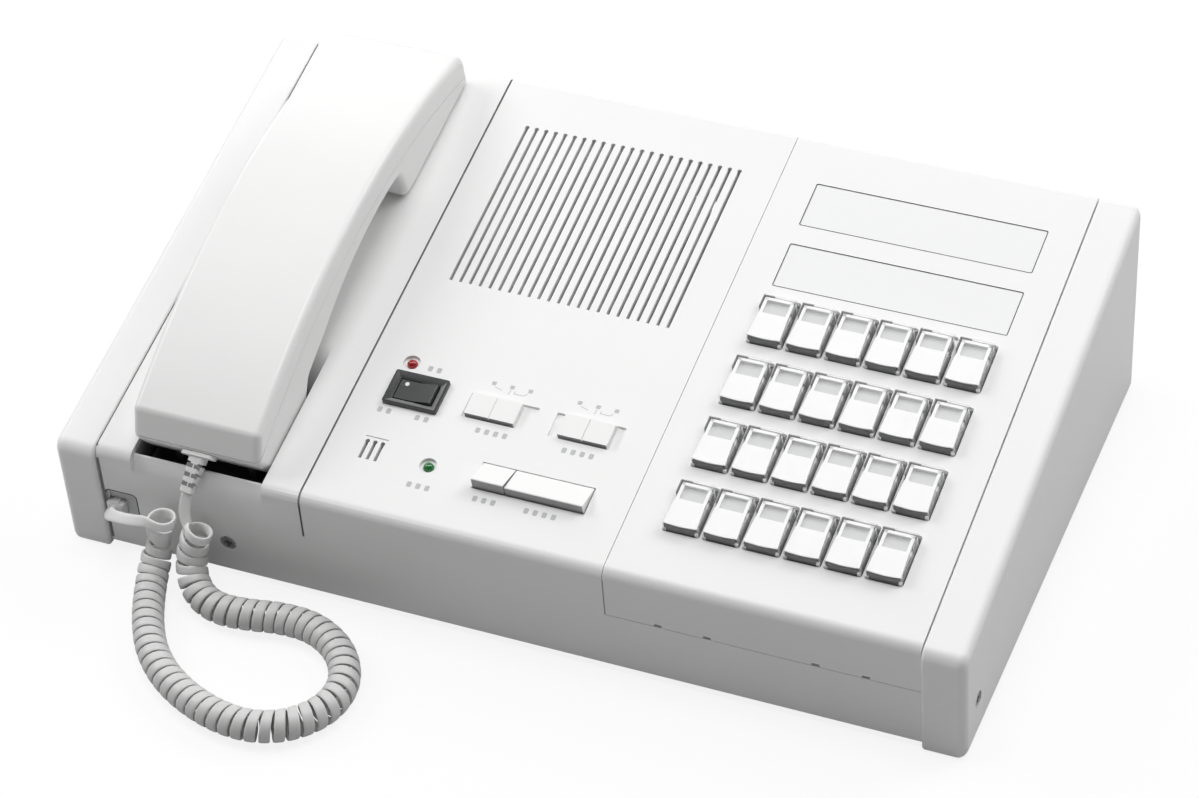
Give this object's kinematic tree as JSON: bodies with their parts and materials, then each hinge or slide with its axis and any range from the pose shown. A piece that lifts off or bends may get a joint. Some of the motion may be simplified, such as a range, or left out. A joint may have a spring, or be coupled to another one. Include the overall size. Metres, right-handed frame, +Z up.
{
  "type": "desk intercom",
  "caption": "Wedge-shaped desk intercom with a lift-off handset on a curly cord, a speaker grille, controls and a block of call keys.",
  "frame": {"origin": "middle of the footprint of the case with its cheeks and feet, on the surface it stands on", "axes": "+X to the right along the front, +Y to the rear, +Z up"},
  "size_m": [0.4, 0.324, 0.1196],
  "materials": {
    "case_white": "fine-grained moulded plastic",
    "handset_white": "smooth moulded plastic",
    "key_cap": "clear cap over a white name label and a lamp window",
    "knob_white": "smooth moulded plastic",
    "window_clear": "clear sheet",
    "paper_card": "blank paper card",
    "dark_plastic": "moulded black plastic",
    "rocker_grey": "moulded grey plastic",
    "jack_grey": "moulded dark grey plastic",
    "lens_red": "tinted clear lens",
    "lens_green": "tinted clear lens",
    "board": "glass-fibre circuit board with soldered parts",
    "speaker_steel": "pressed steel, dark",
    "speaker_paper": "paper cone",
    "screw_steel": "zinc-plated steel",
    "foot_rubber": "matte rubber",
    "cord_vinyl": "soft vinyl",
    "cord_grip": "soft vinyl strain relief",
    "plug_clear": "clear plug moulding"
  },
  "bodies": {
    "console": {"main_housing": "case_white", "base_plate": "case_white", "left_cheek": "case_white", "right_cheek": "case_white", "case_screws": "screw_steel", "rubber_feet": "foot_rubber", "keypad_cover": "case_white", "key_board": "board", "label_windows": "window_clear", "label_cards": "paper_card", "speaker_basket": "speaker_steel", "speaker_cone": "speaker_paper", "rocker_frame": "dark_plastic", "red_led": "lens_red", "green_led": "lens_green", "call_microphone": "dark_plastic", "push_key_pin": "screw_steel", "panel_switches": "dark_plastic", "main_board": "board", "hook_switch": "dark_plastic", "handset_jack": "jack_grey", "cord_plug": "plug_clear", "cord_lead_base": "cord_vinyl", "cord_coil": "cord_vinyl", "cord_lead_handset": "cord_vinyl"},
    "handset": {"handset_top_shell": "handset_white", "handset_bottom_shell": "handset_white", "receiver_capsule": "dark_plastic", "mouth_capsule": "dark_plastic", "handset_relief": "cord_grip"},
    "hook_plunger": {"hook_plunger": "knob_white"},
    "rocker": {"rocker_paddle": "rocker_grey"},
    "slide_left": {"slide_knob_left": "knob_white"},
    "slide_right": {"slide_knob_right": "knob_white"},
    "push_left": {"push_key_left": "knob_white"},
    "push_right": {"push_key_right": "knob_white"},
    "key_r1c1": {"key_r1c1": "key_cap"},
    "key_r1c2": {"key_r1c2": "key_cap"},
    "key_r1c3": {"key_r1c3": "key_cap"},
    "key_r1c4": {"key_r1c4": "key_cap"},
    "key_r1c5": {"key_r1c5": "key_cap"},
    "key_r1c6": {"key_r1c6": "key_cap"},
    "key_r2c1": {"key_r2c1": "key_cap"},
    "key_r2c2": {"key_r2c2": "key_cap"},
    "key_r2c3": {"key_r2c3": "key_cap"},
    "key_r2c4": {"key_r2c4": "key_cap"},
    "key_r2c5": {"key_r2c5": "key_cap"},
    "key_r2c6": {"key_r2c6": "key_cap"},
    "key_r3c1": {"key_r3c1": "key_cap"},
    "key_r3c2": {"key_r3c2": "key_cap"},
    "key_r3c3": {"key_r3c3": "key_cap"},
    "key_r3c4": {"key_r3c4": "key_cap"},
    "key_r3c5": {"key_r3c5": "key_cap"},
    "key_r3c6": {"key_r3c6": "key_cap"},
    "key_r4c1": {"key_r4c1": "key_cap"},
    "key_r4c2": {"key_r4c2": "key_cap"},
    "key_r4c3": {"key_r4c3": "key_cap"},
    "key_r4c4": {"key_r4c4": "key_cap"},
    "key_r4c5": {"key_r4c5": "key_cap"},
    "key_r4c6": {"key_r4c6": "key_cap"}
  },
  "joints": [
    {"name": "handset_lift", "type": "slide", "parent": "console", "child": "handset", "axis": [0, 0, 1], "range_m": [0, 0.06], "deforming": ["cord_lead_handset"]},
    {"name": "hook_rise", "type": "slide", "parent": "console", "child": "hook_plunger", "axis": [0, -0.1771, 0.9842], "range_m": [0, 0.00501]},
    {"name": "rocker_tip", "type": "hinge", "parent": "console", "child": "rocker", "pos_m": [-0.0602, -0.05362, 0.06585], "axis": [0, 0.9842, 0.1771], "range_deg": [0, 12]},
    {"name": "slide_left_move", "type": "slide", "parent": "console", "child": "slide_left", "axis": [1, 0, 0], "range_m": [0, 0.006]},
    {"name": "slide_right_move", "type": "slide", "parent": "console", "child": "slide_right", "axis": [1, 0, 0], "range_m": [-0.003, 0.003]},
    {"name": "push_left_press", "type": "hinge", "parent": "console", "child": "push_left", "pos_m": [-0.0118, -0.08064, 0.05845], "axis": [1, 0, 0], "range_deg": [0, 6], "stiffness_Nm_per_rad": 0.02, "springref_deg": -5.73},
    {"name": "push_right_press", "type": "hinge", "parent": "console", "child": "push_right", "pos_m": [0.0126, -0.08064, 0.05845], "axis": [1, 0, 0], "range_deg": [0, 6], "stiffness_Nm_per_rad": 0.02, "springref_deg": -5.73},
    {"name": "key_r1c1_press", "type": "slide", "parent": "console", "child": "key_r1c1", "axis": [0, -0.1771, 0.9842], "range_m": [-0.002, 0], "stiffness_N_per_m": 200, "springref_m": 0.002},
    {"name": "key_r1c2_press", "type": "slide", "parent": "console", "child": "key_r1c2", "axis": [0, -0.1771, 0.9842], "range_m": [-0.002, 0], "stiffness_N_per_m": 200, "springref_m": 0.002},
    {"name": "key_r1c3_press", "type": "slide", "parent": "console", "child": "key_r1c3", "axis": [0, -0.1771, 0.9842], "range_m": [-0.002, 0], "stiffness_N_per_m": 200, "springref_m": 0.002},
    {"name": "key_r1c4_press", "type": "slide", "parent": "console", "child": "key_r1c4", "axis": [0, -0.1771, 0.9842], "range_m": [-0.002, 0], "stiffness_N_per_m": 200, "springref_m": 0.002},
    {"name": "key_r1c5_press", "type": "slide", "parent": "console", "child": "key_r1c5", "axis": [0, -0.1771, 0.9842], "range_m": [-0.002, 0], "stiffness_N_per_m": 200, "springref_m": 0.002},
    {"name": "key_r1c6_press", "type": "slide", "parent": "console", "child": "key_r1c6", "axis": [0, -0.1771, 0.9842], "range_m": [-0.002, 0], "stiffness_N_per_m": 200, "springref_m": 0.002},
    {"name": "key_r2c1_press", "type": "slide", "parent": "console", "child": "key_r2c1", "axis": [0, -0.1771, 0.9842], "range_m": [-0.002, 0], "stiffness_N_per_m": 200, "springref_m": 0.002},
    {"name": "key_r2c2_press", "type": "slide", "parent": "console", "child": "key_r2c2", "axis": [0, -0.1771, 0.9842], "range_m": [-0.002, 0], "stiffness_N_per_m": 200, "springref_m": 0.002},
    {"name": "key_r2c3_press", "type": "slide", "parent": "console", "child": "key_r2c3", "axis": [0, -0.1771, 0.9842], "range_m": [-0.002, 0], "stiffness_N_per_m": 200, "springref_m": 0.002},
    {"name": "key_r2c4_press", "type": "slide", "parent": "console", "child": "key_r2c4", "axis": [0, -0.1771, 0.9842], "range_m": [-0.002, 0], "stiffness_N_per_m": 200, "springref_m": 0.002},
    {"name": "key_r2c5_press", "type": "slide", "parent": "console", "child": "key_r2c5", "axis": [0, -0.1771, 0.9842], "range_m": [-0.002, 0], "stiffness_N_per_m": 200, "springref_m": 0.002},
    {"name": "key_r2c6_press", "type": "slide", "parent": "console", "child": "key_r2c6", "axis": [0, -0.1771, 0.9842], "range_m": [-0.002, 0], "stiffness_N_per_m": 200, "springref_m": 0.002},
    {"name": "key_r3c1_press", "type": "slide", "parent": "console", "child": "key_r3c1", "axis": [0, -0.1771, 0.9842], "range_m": [-0.002, 0], "stiffness_N_per_m": 200, "springref_m": 0.002},
    {"name": "key_r3c2_press", "type": "slide", "parent": "console", "child": "key_r3c2", "axis": [0, -0.1771, 0.9842], "range_m": [-0.002, 0], "stiffness_N_per_m": 200, "springref_m": 0.002},
    {"name": "key_r3c3_press", "type": "slide", "parent": "console", "child": "key_r3c3", "axis": [0, -0.1771, 0.9842], "range_m": [-0.002, 0], "stiffness_N_per_m": 200, "springref_m": 0.002},
    {"name": "key_r3c4_press", "type": "slide", "parent": "console", "child": "key_r3c4", "axis": [0, -0.1771, 0.9842], "range_m": [-0.002, 0], "stiffness_N_per_m": 200, "springref_m": 0.002},
    {"name": "key_r3c5_press", "type": "slide", "parent": "console", "child": "key_r3c5", "axis": [0, -0.1771, 0.9842], "range_m": [-0.002, 0], "stiffness_N_per_m": 200, "springref_m": 0.002},
    {"name": "key_r3c6_press", "type": "slide", "parent": "console", "child": "key_r3c6", "axis": [0, -0.1771, 0.9842], "range_m": [-0.002, 0], "stiffness_N_per_m": 200, "springref_m": 0.002},
    {"name": "key_r4c1_press", "type": "slide", "parent": "console", "child": "key_r4c1", "axis": [0, -0.1771, 0.9842], "range_m": [-0.002, 0], "stiffness_N_per_m": 200, "springref_m": 0.002},
    {"name": "key_r4c2_press", "type": "slide", "parent": "console", "child": "key_r4c2", "axis": [0, -0.1771, 0.9842], "range_m": [-0.002, 0], "stiffness_N_per_m": 200, "springref_m": 0.002},
    {"name": "key_r4c3_press", "type": "slide", "parent": "console", "child": "key_r4c3", "axis": [0, -0.1771, 0.9842], "range_m": [-0.002, 0], "stiffness_N_per_m": 200, "springref_m": 0.002},
    {"name": "key_r4c4_press", "type": "slide", "parent": "console", "child": "key_r4c4", "axis": [0, -0.1771, 0.9842], "range_m": [-0.002, 0], "stiffness_N_per_m": 200, "springref_m": 0.002},
    {"name": "key_r4c5_press", "type": "slide", "parent": "console", "child": "key_r4c5", "axis": [0, -0.1771, 0.9842], "range_m": [-0.002, 0], "stiffness_N_per_m": 200, "springref_m": 0.002},
    {"name": "key_r4c6_press", "type": "slide", "parent": "console", "child": "key_r4c6", "axis": [0, -0.1771, 0.9842], "range_m": [-0.002, 0], "stiffness_N_per_m": 200, "springref_m": 0.002}
  ],
  "couplings": [
    {"joint": "hook_rise", "follows": "handset_lift", "ratio": 0.083333}
  ]
}
